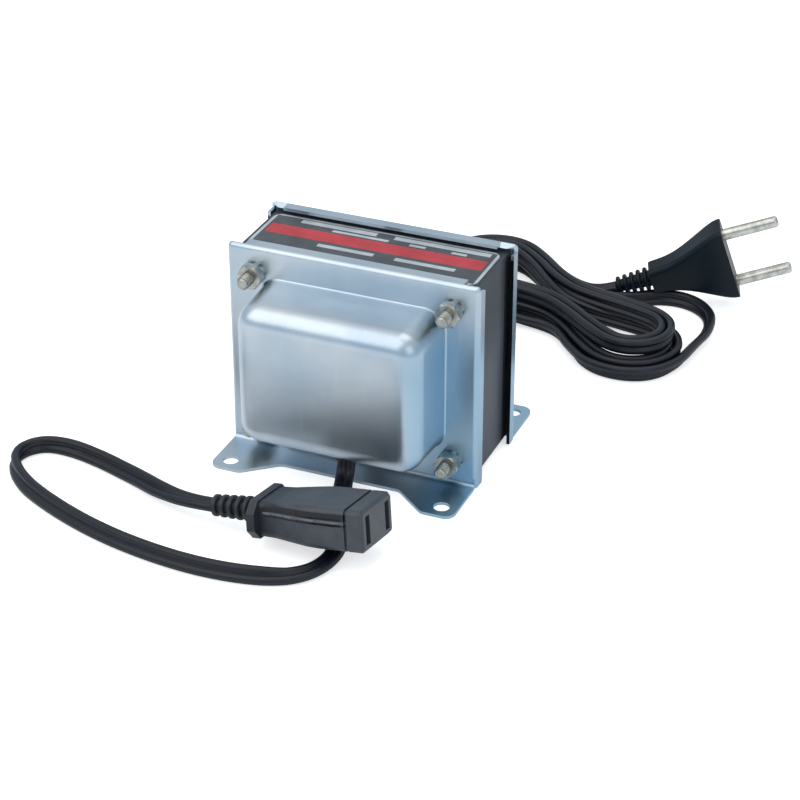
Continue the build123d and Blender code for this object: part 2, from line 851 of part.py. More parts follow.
save("input_cord", round_tube(input_route(), cord_d, "input_cord"))
save("input_cord_hank", hank())
save("input_cord_plug_end", round_tube(plug_route(), cord_d, "input_cord_plug_end"))
save("plug_body", plug_body())
save("plug_pins", plug_pins())
save("plug_boot", plug_boot())
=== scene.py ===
# %% [markdown]
# A small step-down travel transformer, dressed for rendering.
#
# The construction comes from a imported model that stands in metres, with +Z up, and is never moved here.
# This script gives every part its finish, and makes again those that need more form than a solid has: the
# flat twin flex of both leads, the ribbed boots at their ends, and the bolts and nuts.

# %% Load the frame
import math

import bmesh
import bpy
from mathutils import Matrix, Vector


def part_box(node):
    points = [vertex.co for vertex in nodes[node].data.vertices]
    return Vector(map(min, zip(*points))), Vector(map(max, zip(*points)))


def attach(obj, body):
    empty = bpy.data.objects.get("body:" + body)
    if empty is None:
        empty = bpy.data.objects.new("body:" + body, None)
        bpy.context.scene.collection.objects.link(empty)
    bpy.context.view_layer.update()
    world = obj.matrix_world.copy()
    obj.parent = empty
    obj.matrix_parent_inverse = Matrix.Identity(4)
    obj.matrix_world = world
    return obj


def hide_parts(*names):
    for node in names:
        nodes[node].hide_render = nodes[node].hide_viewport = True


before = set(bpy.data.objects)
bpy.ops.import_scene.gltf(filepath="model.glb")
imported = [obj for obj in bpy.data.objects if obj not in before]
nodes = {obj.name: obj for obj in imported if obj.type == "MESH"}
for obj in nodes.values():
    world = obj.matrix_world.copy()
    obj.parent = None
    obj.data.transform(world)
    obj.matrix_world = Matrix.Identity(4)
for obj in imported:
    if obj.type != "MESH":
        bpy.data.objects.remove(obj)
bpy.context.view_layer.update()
bpy.ops.object.select_all(action="DESELECT")
MM = 0.001
print("nodes in the frame:", len(nodes))

# %% [markdown]
# The camera stands where the photographer did: in front and to the right of the object, and a little
# under 30 degrees above it. It could be moved by eye until the picture looks right. Here its place, its
# direction and its lens were worked out from the edges of the flanges in the photograph, so they are plain
# numbers. A long lens keeps the uprights almost parallel, as the photograph has them.

# %% Camera
CAMERA_AIM = Vector((8.69, 0.0, 15.64)) * MM
CAMERA_DISTANCE = 743.8 * MM
CAMERA_AZIMUTH = math.radians(22.7)
CAMERA_ELEVATION = math.radians(29.76)
CAMERA_LENS = 109.0

camera_back = Vector((
    math.sin(CAMERA_AZIMUTH) * math.cos(CAMERA_ELEVATION),
    -math.cos(CAMERA_AZIMUTH) * math.cos(CAMERA_ELEVATION),
    math.sin(CAMERA_ELEVATION),
))
bpy.ops.object.camera_add(location=CAMERA_AIM + camera_back * CAMERA_DISTANCE)
camera = bpy.context.object
camera.name = "camera"
camera.rotation_mode = "QUATERNION"
camera.rotation_quaternion = camera_back.to_track_quat("Z", "Y")
camera.data.lens = CAMERA_LENS
camera.data.sensor_width = 36.0
camera.data.clip_start = 0.01
camera.data.clip_end = 20.0
bpy.context.scene.camera = camera
print("camera at", [round(value, 3) for value in camera.location])

# %% [markdown]
# A pattern on a surface is a number that varies from place to place, such as the strength of a stain. In
# Blender that is a chain of Math nodes, which is slow to read. Here each such number is a Signal. It wraps
# an output socket, and its operators add the Math nodes, so a pattern is written as a plain expression.

# %% Signals


class Signal:
    """A number that varies over the surface: an output socket that takes part in sums."""

    def __init__(self, graph, socket):
        self.graph = graph
        self.socket = socket

    def math(self, operation, *values):
        return self.graph.add("ShaderNodeMath", {"operation": operation}, dict(enumerate(values)))

    def __add__(self, other):
        return self.math("ADD", self, other)

    def __radd__(self, other):
        return self.math("ADD", other, self)

    def __sub__(self, other):
        return self.math("SUBTRACT", self, other)

    def __rsub__(self, other):
        return self.math("SUBTRACT", other, self)

    def __mul__(self, other):
        return self.math("MULTIPLY", self, other)

    def __rmul__(self, other):
        return self.math("MULTIPLY", other, self)

    def __truediv__(self, other):
        return self.math("DIVIDE", self, other)

    def size(self):
        return self.math("ABSOLUTE", self)

    def wrapped(self, period):
        return self.math("FLOORED_MODULO", self, period)

    def wave(self):
        return self.math("SINE", self)

    def most(self, other):
        return self.math("MAXIMUM", self, other)

    def smooth(self, low, high):
        """0 below low, 1 above high, and a soft step between them."""
        settings = {"interpolation_type": "SMOOTHSTEP"}
        inputs = {"Value": self, "From Min": low, "From Max": high}
        return self.graph.add("ShaderNodeMapRange", settings, inputs)

    def between(self, low, high, soft):
        """1 from low to high, with soft sides."""
        return self.smooth(low - soft, low + soft) * (1.0 - self.smooth(high - soft, high + soft))


# %% [markdown]
# A Graph holds one node tree. It adds any node by its type, its settings and its inputs, and an input takes
# a plain value or a Signal alike. Colours go through a Mix node, because a Math node would turn them grey.

# %% Graphs


class Graph:
    """A node tree under construction, and the coordinates that its patterns follow."""

    def __init__(self, tree, coordinates):
        self.tree = tree
        self.place = self.add("ShaderNodeTexCoord", {}, {}, coordinates)

    def link(self, socket, value):
        if isinstance(value, Signal):
            self.tree.links.new(value.socket, socket)
        else:
            socket.default_value = value

    def add(self, kind, settings, inputs, output=0):
        node = self.tree.nodes.new(kind)
        for key, value in settings.items():
            setattr(node, key, value)
        for key, value in inputs.items():
            self.link(node.inputs[key], value)
        return Signal(self, node.outputs[output])

    def axes(self):
        """The three coordinates, in metres on a material."""
        parts = self.add("ShaderNodeSeparateXYZ", {}, {0: self.place})
        outputs = parts.socket.node.outputs
        return [Signal(self, outputs[axis]) for axis in "XYZ"]

    def stretched(self, scale):
        """The coordinates, scaled along each axis."""
        return self.add("ShaderNodeMapping", {}, {"Vector": self.place, "Scale": scale})

    def noise(self, scale, detail=2.0, rough=0.5, vector=None):
        inputs = {"Vector": vector or self.place, "Scale": scale, "Detail": detail, "Roughness": rough}
        return self.add("ShaderNodeTexNoise", {}, inputs, "Fac")

    def mix(self, factor, first, second):
        """A colour between first and second."""
        first = first if isinstance(first, Signal) else (*first, 1.0)
        second = second if isinstance(second, Signal) else (*second, 1.0)
        node = self.tree.nodes.new("ShaderNodeMix")
        node.data_type = "RGBA"
        self.link(node.inputs[0], factor)
        self.link(node.inputs[6], first)
        self.link(node.inputs[7], second)
        return Signal(self, node.outputs[2])


# %% [markdown]
# A Finish is the Graph of one material. Its patterns could follow a UV map, for which each part has to be
# unwrapped first. They follow the object's own coordinates instead, in metres, so a pattern has its real
# size on every part and stays where it is when the model is used elsewhere.

# %% Finishes


class Finish(Graph):
    """A material under construction."""

    def __init__(self, name, color, roughness, metallic=0.0):
        self.material = bpy.data.materials.new(name)
        self.material.use_nodes = True
        super().__init__(self.material.node_tree, "Object")
        self.shader = self.tree.nodes["Principled BSDF"]
        self.put("Base Color", (*color, 1.0))
        self.put("Roughness", roughness)
        self.put("Metallic", metallic)

    def put(self, name, value):
        self.link(self.shader.inputs[name], value)

    def bump(self, height, strength, distance):
        inputs = {"Height": height, "Strength": strength, "Distance": distance}
        self.put("Normal", self.add("ShaderNodeBump", {}, inputs))


def dress(piece, finish):
    """A piece takes one finish all over."""
    piece.data.materials.clear()
    piece.data.materials.append(finish.material)
    print(piece.name, "wears", finish.material.name)


def shades(color, low, high):
    """A darker and a paler version of a colour."""
    return [low * part for part in color], [high * part for part in color]


# %% [markdown]
# The end bells are pressed from zinc-plated sheet. The plating is a bluish silver with dull clouds in it,
# and a press leaves faint drag lines over the bends. A stronger blue is painted on the right end, below the
# top: a painted reflection of the blue surroundings. The edge faces of the lips beside the core are painted
# near black: a painted shadow of the gap there. One even grey would look like paint. So three noises of
# different sizes make the clouds, the drag lines and the specks, and the model's own axes say where the
# painted blue reflection and the painted edge shadow are.

# %% Zinc plate
ZINC_SHADES = (0.45, 0.54, 0.62), (0.605, 0.67, 0.72)
PAINTED_BLUE_REFLECTION = (0.28, 0.47, 0.62)
DRAGGED_ZINC = (0.68, 0.73, 0.77)
LIP_EDGE_SHADOW = (0.02, 0.025, 0.035)
LIP_EDGE_Y = 11.9 * MM
EDGE_SHADOW_SOFT = 0.01 * MM
UNDER_PLATE = (63.5 * MM, 64.5 * MM)
BLUE_END = (20.0 * MM, 30.0 * MM)
BLUE_TOP = (44.0 * MM, 60.0 * MM)


def zinc_plate():
    finish = Finish("zinc_plate", (0.50, 0.58, 0.66), 0.3, 1.0)
    across, along, up = finish.axes()
    clouds = finish.noise(30.0, 3.0)
    drag = finish.noise(520.0, 3.0, 0.55, finish.stretched((1.0, 1.0, 0.12)))
    speckle = finish.noise(900.0, 2.0)
    plated = finish.mix(clouds.smooth(0.32, 0.68), *ZINC_SHADES)
    # Painted reflection: a stronger blue on the right end, below the top.
    blue_reflection = across.smooth(*BLUE_END) * (1.0 - up.smooth(*BLUE_TOP)) * (0.5 + 0.4 * clouds)
    with_blue_reflection = finish.mix(blue_reflection, plated, PAINTED_BLUE_REFLECTION)
    worn = finish.mix(drag.smooth(0.58, 0.85) * 0.3, with_blue_reflection, DRAGGED_ZINC)
    # Painted shadow: the lips' edge faces beside the core are painted near black, below the label.
    past_lip = along.size().smooth(LIP_EDGE_Y - EDGE_SHADOW_SOFT, LIP_EDGE_Y)
    cut = (1.0 - past_lip) * (1.0 - up.smooth(*UNDER_PLATE))
    finish.put("Base Color", finish.mix(cut, worn, LIP_EDGE_SHADOW))
    finish.put("Roughness", 0.24 + 0.10 * clouds + 0.06 * speckle)
    finish.bump(drag + 0.4 * speckle, 0.12, 0.0002)
    return finish


zinc = zinc_plate()
for bell in ("front_bell", "rear_bell"):
    dress(nodes[bell], zinc)

# %% [markdown]
# The core is a stack of thin steel sheets, dipped in black varnish. The varnish fills most of the joints, so
# the sheets show as faint upright lines. Painted shade makes the side darker towards the top, and a painted
# shadow makes it near black in the corner beside each lip. More than fifty single sheets could be modelled.
# The model has packs of them instead, and the finish draws the joints, which are too fine to need a shape.

# %% Varnished core
VARNISH_SHADES = (0.034, 0.044, 0.058), (0.066, 0.080, 0.098)
JOINT_DARK = (0.02, 0.022, 0.028)
UPPER_SHADE = (0.016, 0.022, 0.03)
LIP_SHADOW_BLACK = (0.002, 0.003, 0.005)
LAMINATION = 0.55 * MM
JOINT_WANDER = 0.3 * MM
LIP_SHADOW_SPAN = (10.3 * MM, 11.1 * MM)
UPPER_SHADE_SPAN = (34.0 * MM, 56.0 * MM)


def core_varnish():
    finish = Finish("core_varnish", (0.05, 0.065, 0.08), 0.4)
    along, up = finish.axes()[1:]
    runs = finish.noise(60.0, 4.0, 0.6, finish.stretched((1.0, 1.0, 0.2)))
    sheets = (along + runs * JOINT_WANDER) / LAMINATION
    joint = (sheets.wrapped(1.0) - 0.5).size().smooth(0.30, 0.5)
    coat = finish.mix(runs.smooth(0.3, 0.7), *VARNISH_SHADES)
    lined = finish.mix(joint * 0.35, coat, JOINT_DARK)
    # Painted shade: the side grows darker towards the top.
    shaded_top = finish.mix(up.smooth(*UPPER_SHADE_SPAN) * 0.7, lined, UPPER_SHADE)
    # Painted shadow: near black in the corner beside each lip, below the label.
    lip_shadow = along.size().smooth(*LIP_SHADOW_SPAN) * (1.0 - up.smooth(*UNDER_PLATE))
    finish.put("Base Color", finish.mix(lip_shadow, shaded_top, LIP_SHADOW_BLACK))
    finish.put("Roughness", 0.34 + 0.16 * runs + 0.3 * lip_shadow)
    finish.bump(runs - 0.35 * joint, 0.25, 0.0003)
    return finish


varnish = core_varnish()
for laminations in ("e_laminations", "i_laminations"):
    dress(nodes[laminations], varnish)

# %% [markdown]
# The label is thin foil, printed black over silver: a silver border, one red stripe, and blank silver bars
# where a label carries its data. A picture could be laid over the plate. The shader draws the pattern
# from the plate's own coordinates instead, so it stays sharp from close by and each edge is a plain
# number. A bar, or the stripe, is its left, right, near and far edge in millimetres.

# %% Label
INK_SHADES = (0.040, 0.048, 0.056), (0.075, 0.086, 0.094)
RED_SHADES = (0.40, 0.016, 0.026), (0.52, 0.034, 0.045)
FOIL_SHADES = (0.50, 0.54, 0.57), (0.66, 0.70, 0.72)
PLATE_LOW, PLATE_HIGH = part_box("label_plate")
LABEL_BARS = (
    (-27.3, -2.5, 7.7, 9.9), (3.3, 34.3, 7.7, 9.9),
    (-16.0, 2.4, 5.5, 6.8), (9.2, 14.4, 5.5, 6.8), (22.7, 27.6, 5.5, 6.8),
    (-16.3, 1.9, -5.2, -3.3), (8.7, 27.9, -5.2, -3.3),
)
LABEL_STRIPE = (-35.2, 34.9, -1.6, 4.6)
BORDER = 0.9 * MM
PRINT_EDGE = 0.12 * MM


def printed_label():
    finish = Finish("printed_label", (0.02, 0.02, 0.025), 0.3)
    across, along = finish.axes()[:2]

    def block(left, right, near, far):
        wide = across.between(left * MM, right * MM, PRINT_EDGE)
        return wide * along.between(near * MM, far * MM, PRINT_EDGE)

    def rim(place, low, high):
        inside = (high - low) / 2 - BORDER
        return (place - (low + high) / 2).size().smooth(inside - PRINT_EDGE, inside)

    silver = rim(across, PLATE_LOW[0], PLATE_HIGH[0]).most(rim(along, PLATE_LOW[1], PLATE_HIGH[1]))
    for bar in LABEL_BARS:
        silver = silver.most(block(*bar))
    stripe = block(*LABEL_STRIPE)
    wear = finish.noise(140.0, 4.0, 0.6)
    ink = finish.mix(wear.smooth(0.35, 0.75), *INK_SHADES)
    red = finish.mix(wear.smooth(0.3, 0.7), *RED_SHADES)
    foil = finish.mix(wear.smooth(0.3, 0.7), *FOIL_SHADES)
    printed = finish.mix(stripe, ink, red)
    finish.put("Base Color", finish.mix(silver, printed, foil))
    finish.put("Metallic", 0.7 * silver)
    finish.put("Roughness", 0.34 + 0.16 * wear)
    finish.bump(wear + 0.5 * silver, 0.1, 0.0001)
    return finish


dress(nodes["label_plate"], printed_label())

# %% [markdown]
# The connector, the plug and both flexes are soft black PVC. A plain black would hide their shapes, and
# moulded plastic is never quite even. So a slow noise moves the colour and the roughness, and a fine one
# gives a grain. The four mixes differ in colour and in gloss, and a grommet's rubber is the dullest.

# %% PVC and rubber


def pvc(name, color, roughness, grain, gloss):
    finish = Finish(name, color, roughness)
    slow = finish.noise(90.0, 3.0)
    fine = finish.noise(1800.0, 2.0)
    finish.put("Base Color", finish.mix(slow, *shades(color, 0.75, 1.35)))
    finish.put("Roughness", roughness - 0.06 + 0.12 * slow)
    finish.put("Specular IOR Level", gloss)
    finish.bump(fine + 0.6 * slow, grain, 0.0002)
    return finish


cord_pvc = pvc("cord_pvc", (0.007, 0.009, 0.015), 0.36, 0.10, gloss=0.40)
connector_pvc = pvc("connector_pvc", (0.022, 0.027, 0.034), 0.36, 0.14, gloss=0.40)
plug_pvc = pvc("plug_pvc", (0.003, 0.009, 0.014), 0.38, 0.12, gloss=0.20)
grommet_rubber = pvc("grommet_rubber", (0.014, 0.014, 0.015), 0.55, 0.15, gloss=0.36)
dress(nodes["plug_body"], plug_pvc)
for bush in ("output_grommet", "input_grommet"):
    dress(nodes[bush], grommet_rubber)

# %% [markdown]
# The connector's two halves were moulded apart and welded. Along each side the weld left a ridge, with a
# deep channel above it and a thin one below it. Their light and shade are painted: a painted highlight on
# the ridge and painted shade in both channels. The body is also darker towards its back end. They could be
# cut into the shape, but they are ragged, and noise draws a ragged line more easily than a mesh does. They
# follow the moulding's own axes, so the shader first turns its coordinates into the connector's frame, in
# which X points at the face and Z is up. Its turn is a heading, a rise and a roll in degrees. The channel,
# the ridge, the seam and the channel's ends are each two edges and their softness.

# %% Connector body
BODY_SHADES = (0.036, 0.043, 0.053), (0.070, 0.078, 0.090)
REAR_DARK = (0.014, 0.017, 0.022)
GROOVE_SHADE = (0.006, 0.006, 0.010)
RIDGE_HIGHLIGHT = (0.20, 0.21, 0.23)
CONNECTOR_PLACE = (28.6, -64.0, 13.8)
CONNECTOR_TURN = (-1.0, 8.0, -10.0)
CHANNEL = (2.9 * MM, 5.0 * MM, 0.25 * MM)
RIDGE = (2.1 * MM, 2.8 * MM, 0.12 * MM)
SEAM = (1.3 * MM, 1.9 * MM, 0.15 * MM)
CHANNEL_ENDS = (-32.5 * MM, -5.2 * MM, 0.4 * MM)
TOP_SIDE, FULL_SIDE = 6.0 * MM, 6.6 * MM
RAGGED = 0.7 * MM
REAR_DARK_FULL, REAR_DARK_NONE = -33.0 * MM, -24.0 * MM


def welded_body():
    finish = pvc("connector_body_pvc", (0.062, 0.070, 0.082), 0.36, 0.14, gloss=0.40)
    heading, rise, roll = (math.radians(angle) for angle in CONNECTOR_TURN)
    inputs = {
        "Vector": finish.place, "Location": Vector(CONNECTOR_PLACE) * MM,
        "Rotation": (roll, -rise, heading),
    }
    finish.place = finish.add("ShaderNodeMapping", {"vector_type": "TEXTURE"}, inputs)
    ahead, across, up = finish.axes()
    uneven = finish.noise(260.0, 3.0)
    height = up + (uneven - 0.5) * RAGGED
    side = across.size().smooth(TOP_SIDE, FULL_SIDE) * ahead.between(*CHANNEL_ENDS)
    # Painted shade in the channel and in the seam below it.
    channel_shade = height.between(*CHANNEL).most(height.between(*SEAM)) * side
    # Painted highlight along the ridge.
    ridge_highlight = height.between(*RIDGE) * side * uneven.smooth(0.3, 0.6)
    # The body grows darker towards its back end.
    rearward = ahead.smooth(REAR_DARK_NONE, REAR_DARK_FULL)
    shade = finish.mix(0.75 * rearward, finish.mix(uneven, *BODY_SHADES), REAR_DARK)
    groove_shaded = finish.mix(0.9 * channel_shade, shade, GROOVE_SHADE)
    finish.put("Base Color", finish.mix(0.8 * ridge_highlight, groove_shaded, RIDGE_HIGHLIGHT))
    return finish


dress(nodes["connector_body"], welded_body())

# %% [markdown]
# The small metal parts differ more than they seem to. Bolts and nuts carry a zinc coat that passivation
# turned a little yellow. The plug's pins are bright nickel over turned brass, so they keep the lathe's fine
# rings, which stand across the plug's own direction. The contacts are bare brass. Such rings could be
# modelled only with very many faces, so a sine wave makes them in the bump. All five finishes are alike
# but for colour, roughness and rings, so one helper makes them.

# %% Small metal parts
PLUG_WAY = (0.9, 0.28, 0.32)


def small_metal(name, color, roughness, rings=0.0):
    """A metal finish with soft stains, and fine turned rings where rings gives their pitch."""
    finish = Finish(name, color, roughness, 1.0)
    stain = finish.noise(420.0, 3.0)
    finish.put("Base Color", finish.mix(stain.smooth(0.3, 0.7), *shades(color, 0.72, 1.08)))
    finish.put("Roughness", roughness - 0.05 + 0.14 * stain)
    height = stain
    if rings:
        x, y, z = (axis * part for axis, part in zip(finish.axes(), PLUG_WAY))
        height = stain + ((x + y + z) * (math.tau / rings)).wave() * 0.5
    finish.bump(height, 0.12, 0.0001)
    return finish


bolt_zinc = small_metal("bolt_zinc", (0.50, 0.50, 0.45), 0.26)
washer_steel = small_metal("washer_steel", (0.52, 0.56, 0.58), 0.34)
pin_nickel = small_metal("pin_nickel", (0.60, 0.59, 0.54), 0.24, 0.35 * MM)
contact_brass = small_metal("contact_brass", (0.72, 0.52, 0.22), 0.32)
cutout_can = small_metal("cutout_can", (0.66, 0.67, 0.68), 0.38)
dress(nodes["lock_washers"], washer_steel)
dress(nodes["plug_pins"], pin_nickel)
dress(nodes["connector_contacts"], contact_brass)
dress(nodes["thermal_cutout"], cutout_can)

# %% [markdown]
# Inside the bells sits the coil. Nobody sees it in the photograph, but the part may be opened, so each layer
# still gets what it is made of: enamelled copper laid in rows, polyester tape, nylon and fibre. The copper
# could be hundreds of turns of modelled wire. A sine wave up the coil draws the rows on a plain ring, with
# painted shade between the wires and paler crowns, which looks the same from outside and stays light.

# %% Coil and insulation
WIRE_PITCH = 0.45 * MM


def wound_copper(name, color):
    finish = Finish(name, color, 0.32, 0.85)
    wires = (finish.axes()[2] * (math.tau / WIRE_PITCH)).wave()
    lay = finish.noise(220.0, 2.0, 0.5, finish.stretched((1.0, 1.0, 6.0)))
    # Painted shade between the wires, and paler crowns.
    crown_shading = (wires * 0.5 + 0.5) * 0.7 + 0.3 * lay
    finish.put("Base Color", finish.mix(crown_shading, *shades(color, 0.45, 1.1)))
    finish.put("Roughness", 0.26 + 0.16 * lay)
    finish.bump(wires, 0.5, 0.0002)
    return finish


def soft_sheet(name, color, roughness, scale, strength):
    """Tape, fibre, nylon or thin sleeving: even in colour, with a mottled surface."""
    finish = Finish(name, color, roughness)
    mottle = finish.noise(scale, 4.0, 0.6)
    finish.put("Base Color", finish.mix(mottle, *shades(color, 0.78, 1.12)))
    finish.put("Roughness", roughness - 0.08 + 0.16 * mottle)
    finish.bump(mottle, strength, 0.0003)
    return finish


dress(nodes["primary_winding"], wound_copper("primary_copper", (0.55, 0.20, 0.08)))
dress(nodes["secondary_winding"], wound_copper("secondary_copper", (0.62, 0.27, 0.11)))
coil_tape = soft_sheet("coil_tape", (0.74, 0.58, 0.12), 0.32, 160.0, 0.2)
former_nylon = soft_sheet("former_nylon", (0.74, 0.72, 0.64), 0.42, 300.0, 0.15)
vulcanised_fibre = soft_sheet("vulcanised_fibre", (0.36, 0.085, 0.05), 0.62, 700.0, 0.35)
lead_sleeve = soft_sheet("lead_sleeve", (0.42, 0.04, 0.035), 0.40, 900.0, 0.15)
crimp_nylon = soft_sheet("crimp_nylon", (0.78, 0.76, 0.70), 0.36, 400.0, 0.15)
inner_finishes = {
    coil_tape: ("winding_barrier", "outer_wrap"),
    former_nylon: ("coil_former",),
    vulcanised_fibre: ("fibre_washers", "bolt_sleeves"),
    lead_sleeve: ("output_leads", "input_leads"),
    crimp_nylon: ("output_crimps", "input_crimps"),
}
for finish, names in inner_finishes.items():
    for name in names:
        dress(nodes[name], finish)

# %% [markdown]
# Bolts and nuts are bought parts with real threads and chamfers, and the model has only plain prisms and
# pins. Their meshes could be typed in point by point. It is easier to start from cylinders, as a lathe
# does, and to let modifiers bevel and cut them. Three helpers do that: one makes a rod, one cuts it, and
# one turns a piece's modifiers into real faces.

# %% Rods and cuts
RIM_ANGLE = math.radians(60)


def apply_all(piece):
    """Applies the piece's modifiers, in their order."""
    bpy.ops.object.select_all(action="DESELECT")
    piece.select_set(True)
    bpy.context.view_layer.objects.active = piece
    for modifier in list(piece.modifiers):
        bpy.ops.object.modifier_apply(modifier=modifier.name)


def rod(name, radius, front, back, vertices=32, turn=0.0, chamfer=0.0):
    """A cylinder along Y, from front to back, with chamfered rims."""
    bpy.ops.object.select_all(action="DESELECT")
    bpy.ops.mesh.primitive_cylinder_add(
        vertices=vertices, radius=radius, depth=back - front, location=(0, (front + back) / 2, 0),
        rotation=(math.radians(90), turn, 0),
    )
    piece = bpy.context.object
    piece.name = name
    bpy.ops.object.transform_apply(location=True, rotation=True, scale=True)
    if chamfer:
        bevel = piece.modifiers.new("rims", "BEVEL")
        bevel.width = chamfer
        bevel.segments = 1
        bevel.limit_method = "ANGLE"
        bevel.angle_limit = RIM_ANGLE
        apply_all(piece)
    return piece


def cut(piece, tool, operation):
    """Keeps what piece and tool share, or takes tool away from piece."""
    boolean = piece.modifiers.new("cut", "BOOLEAN")
    boolean.operation = operation
    boolean.solver = "EXACT"
    boolean.object = tool
    apply_all(piece)
    bpy.data.objects.remove(tool)


# %% [markdown]
# A nut and a bolt's head are hexagons. Their rims could be bevelled, but the real ones are turned on a
# lathe, which takes off only the corners and leaves curved edges. Such a hexagon is what two shapes have in
# common, a six-sided prism and a round blank with bevelled rims, and a Boolean keeps that. The blank is a
# hair wider than the prism's corners, because faces that only touch confuse a Boolean.

# %% Hexagons
HEX_FLATS = 7.0 * MM
HEX_CORNERS = HEX_FLATS / math.cos(math.radians(30))
HEX_CHAMFER = 0.5 * MM
BLANK_SPARE = 0.02 * MM


def hexagon(name, front, back):
    """A hexagon with flats above and below, and turned corners."""
    piece = rod(name, HEX_CORNERS / 2, front, back, vertices=6, turn=math.radians(30))
    blank = rod("blank", HEX_CORNERS / 2 + BLANK_SPARE, front, back, vertices=48, chamfer=HEX_CHAMFER)
    cut(piece, blank, "INTERSECT")
    print(name, "is", round((back - front) / MM, 2), "mm high")
    return piece


# %% [markdown]
# The thread is a ridge that winds round the bolt. A bump could fake it, but the bolt's outline would stay
# smooth. So a Screw modifier turns a small triangle round the bolt's axis and moves it by one pitch a turn.
# Its two open ends are closed as faces.

# %% Thread
THREAD_PITCH = 0.7 * MM
THREAD_TURNS = 6
THREAD_STEPS = 24
THREAD_ROOT, THREAD_CREST = 1.62 * MM, 2.0 * MM
THREAD_FOOT = 0.9 * THREAD_PITCH


def thread_ridge(start):
    bpy.ops.object.select_all(action="DESELECT")
    bpy.ops.mesh.primitive_circle_add(vertices=3, radius=THREAD_PITCH / 2)
    ridge = bpy.context.object
    corners = ((THREAD_ROOT, 0.0), (THREAD_ROOT, THREAD_FOOT), (THREAD_CREST, THREAD_FOOT / 2))
    for vertex, (out, along) in zip(ridge.data.vertices, corners):
        vertex.co = (out, start + along, 0.0)
    screw = ridge.modifiers.new("helix", "SCREW")
    screw.axis = "Y"
    screw.screw_offset = THREAD_PITCH
    screw.iterations = THREAD_TURNS
    screw.steps = screw.render_steps = THREAD_STEPS
    screw.use_merge_vertices = False
    apply_all(ridge)
    bpy.ops.object.mode_set(mode="EDIT")
    bpy.ops.mesh.select_all(action="SELECT")
    bpy.ops.mesh.fill_holes(sides=3)
    bpy.ops.mesh.select_all(action="SELECT")
    bpy.ops.mesh.normals_make_consistent(inside=False)
    bpy.ops.object.mode_set(mode="OBJECT")
    print("thread has", len(ridge.data.polygons), "faces")
    return ridge


def joined(first, *others):
    """The pieces as one object, which keeps the first one's name."""
    bpy.ops.object.select_all(action="DESELECT")
    for part in (first, *others):
        part.select_set(True)
    bpy.context.view_layer.objects.active = first
    bpy.ops.object.join()
    return first


# %% [markdown]
# A bolt goes in from behind: its head sits on the fibre washer, and its end, with the thread, stands out of
# the nut in front. Each could be made where it belongs, but one bolt and one nut on the Y axis are easier
# to shape, and copies can follow. Their lengths are read from the model's own boxes.

# %% Bolt and nut
SHANK_RADIUS = 1.68 * MM
SHANK_IN_HEAD = 1.0 * MM
SHANK_CHAMFER = 0.3 * MM
BARE_TIP = 0.2 * MM
BORE_RADIUS = 1.9 * MM
nut_low, nut_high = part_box("hex_nuts")
bolt_low, bolt_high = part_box("through_bolts")
head_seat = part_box("fibre_washers")[1][1]

shank = rod("through_bolt", SHANK_RADIUS, bolt_low[1], head_seat + SHANK_IN_HEAD, chamfer=SHANK_CHAMFER)
head = hexagon("bolt_head", head_seat, bolt_high[1])
bolt = joined(shank, head, thread_ridge(bolt_low[1] + BARE_TIP))
nut = hexagon("hex_nut", nut_low[1], nut_high[1])
cut(nut, rod("bore", BORE_RADIUS, nut_low[1] - MM, nut_high[1] + MM), "DIFFERENCE")
for model in (bolt, nut):
    print(model.name, "has", len(model.data.polygons), "faces")

# %% [markdown]
# Four bolts clamp the core at its corners. Linked copies would share one mesh and be moved as objects. Here
# each copy has a mesh of its own, moved to its place, so that every finished object stays at the origin.

# %% Four of each
MODELS = ((bolt, "through_bolts"), (nut, "hex_nuts"))
corner_x = nut_high[0] - HEX_CORNERS / 2
corner_z = (nut_low[2] + HEX_FLATS / 2, nut_high[2] - HEX_FLATS / 2)
for model, node in MODELS:
    for number, (x, z) in enumerate((x, z) for x in (-corner_x, corner_x) for z in corner_z):
        piece = model.copy()
        piece.data = model.data.copy()
        piece.name = f"{model.name}_{number}"
        piece.data.transform(Matrix.Translation((x, 0.0, z)))
        bpy.context.collection.objects.link(piece)
        dress(piece, bolt_zinc)
        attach(piece, "root")
        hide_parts(node)
    bpy.data.objects.remove(model)
print("bolts stand at x", round(corner_x / MM, 2), "and z", [round(z / MM, 2) for z in corner_z])

# %% [markdown]
# A strain relief is moulded as a soft tapered tube with thin ribs, so that the flex can bend without a kink.
# The model's boots have broad round rings. The real ribs are thinner, with deep dark gaps between them, so
# each boot is made again here. It could be spun from one outline. A tapered tube and a row of chamfered
# discs joined to it look the same, and a loop sets the discs.

# %% Boot helper
RIB_SHARE = 0.52
RIB_DEEP = 1.25 * MM
RIB_CHAMFER = 0.3 * MM
BOOT_SMOOTH = math.radians(35)


def posture(place, heading, rise, roll):
    """The matrix of a moulding that points along its own X, as the model places it."""
    turned = Matrix.Rotation(math.radians(heading), 4, "Z")
    turned = turned @ Matrix.Rotation(-math.radians(rise), 4, "Y")
    turned = turned @ Matrix.Rotation(math.radians(roll), 4, "X")
    return Matrix.Translation(Vector(place) * MM) @ turned


